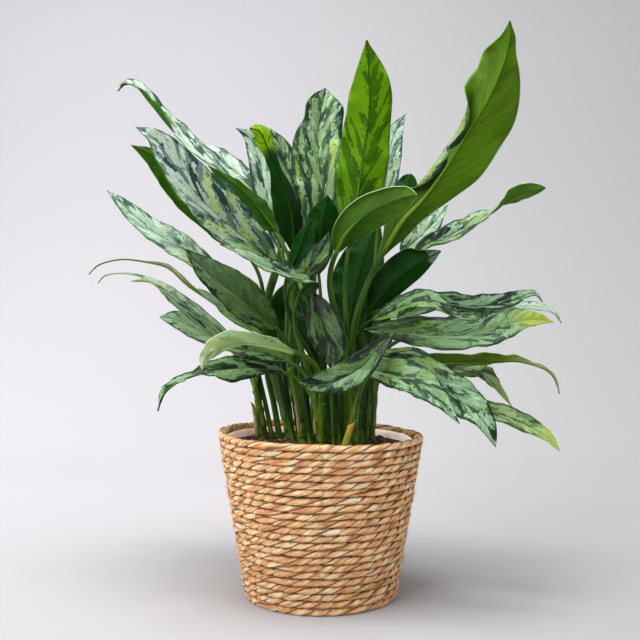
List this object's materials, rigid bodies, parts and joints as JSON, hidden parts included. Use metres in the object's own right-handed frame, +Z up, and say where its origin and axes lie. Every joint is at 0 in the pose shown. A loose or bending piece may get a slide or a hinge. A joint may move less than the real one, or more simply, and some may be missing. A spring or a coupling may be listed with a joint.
{
  "type": "potted Chinese evergreen",
  "caption": "Leafy houseplant with long green and silver-grey blades on upright stalks, standing in soil inside a lined, tapered basket of coiled seagrass rope.",
  "frame": {"origin": "middle of the basket's flat underside", "axes": "+Z up out of the basket, -Y towards the side seen in the picture, +X to that view's right"},
  "size_m": [0.5089, 0.2694, 0.5478],
  "materials": {
    "seagrass": "coiled twisted dry seagrass rope",
    "film": "thin wrinkled plastic film, slightly shiny",
    "soil": "crumbly dark peat and bark potting mix",
    "stalk": "smooth green living stem",
    "cut_stalk": "dried orange-brown cut stalk",
    "leaf": "satin living leaf, green with silver-grey marbling on the upper side"
  },
  "bodies": {
    "root": {"basket": "seagrass", "liner": "film", "soil": "soil", "cut_stub": "cut_stalk", "stem_left_outer": "stalk", "leaf_left_outer_long_tip": "leaf", "leaf_left_outer_hooked": "leaf", "leaf_left_outer_twisted": "leaf", "leaf_left_outer_low": "leaf", "stem_left_back": "stalk", "leaf_left_back_high": "leaf", "leaf_left_back_behind": "leaf", "leaf_left_back_pale": "leaf", "leaf_left_back_dark": "leaf", "stem_left": "stalk", "leaf_left_big": "leaf", "leaf_left_lower": "leaf", "leaf_left_dark": "leaf", "leaf_left_narrow": "leaf", "stem_front_left": "stalk", "leaf_front_left_curled": "leaf", "leaf_front_left_dark": "leaf", "leaf_front_left_drooping": "leaf", "leaf_front_left_forward": "leaf", "stem_centre": "stalk", "leaf_centre_yellow_tip": "leaf", "leaf_centre_behind": "leaf", "leaf_centre_upright": "leaf", "leaf_centre_inner": "leaf", "leaf_centre_short": "leaf", "leaf_centre_rising": "leaf", "leaf_centre_hanging": "leaf", "stem_centre_right": "stalk", "leaf_centre_right_tallest": "leaf", "leaf_centre_right_backlit": "leaf", "leaf_centre_right_forward": "leaf", "stem_right_back": "stalk", "leaf_right_back_narrow": "leaf", "leaf_right_back_small": "leaf", "leaf_right_back_long_wavy": "leaf", "leaf_right_back_rounded": "leaf", "stem_right": "stalk", "leaf_right_dark": "leaf", "leaf_right_upper": "leaf", "leaf_right_thin": "leaf", "leaf_right_arching": "leaf", "leaf_right_big": "leaf", "stem_front_right": "stalk", "leaf_front_right_olive": "leaf", "leaf_front_right_front": "leaf", "leaf_front_right_long": "leaf", "leaf_front_right_outer": "leaf", "leaf_front_right_yellow_edge": "leaf", "leaf_front_right_crossing": "leaf", "stem_back": "stalk", "leaf_back_left": "leaf", "leaf_back_upright": "leaf", "leaf_back_right": "leaf", "leaf_back_low_right": "leaf", "leaf_back_low_left": "leaf"}
  },
  "joints": []
}
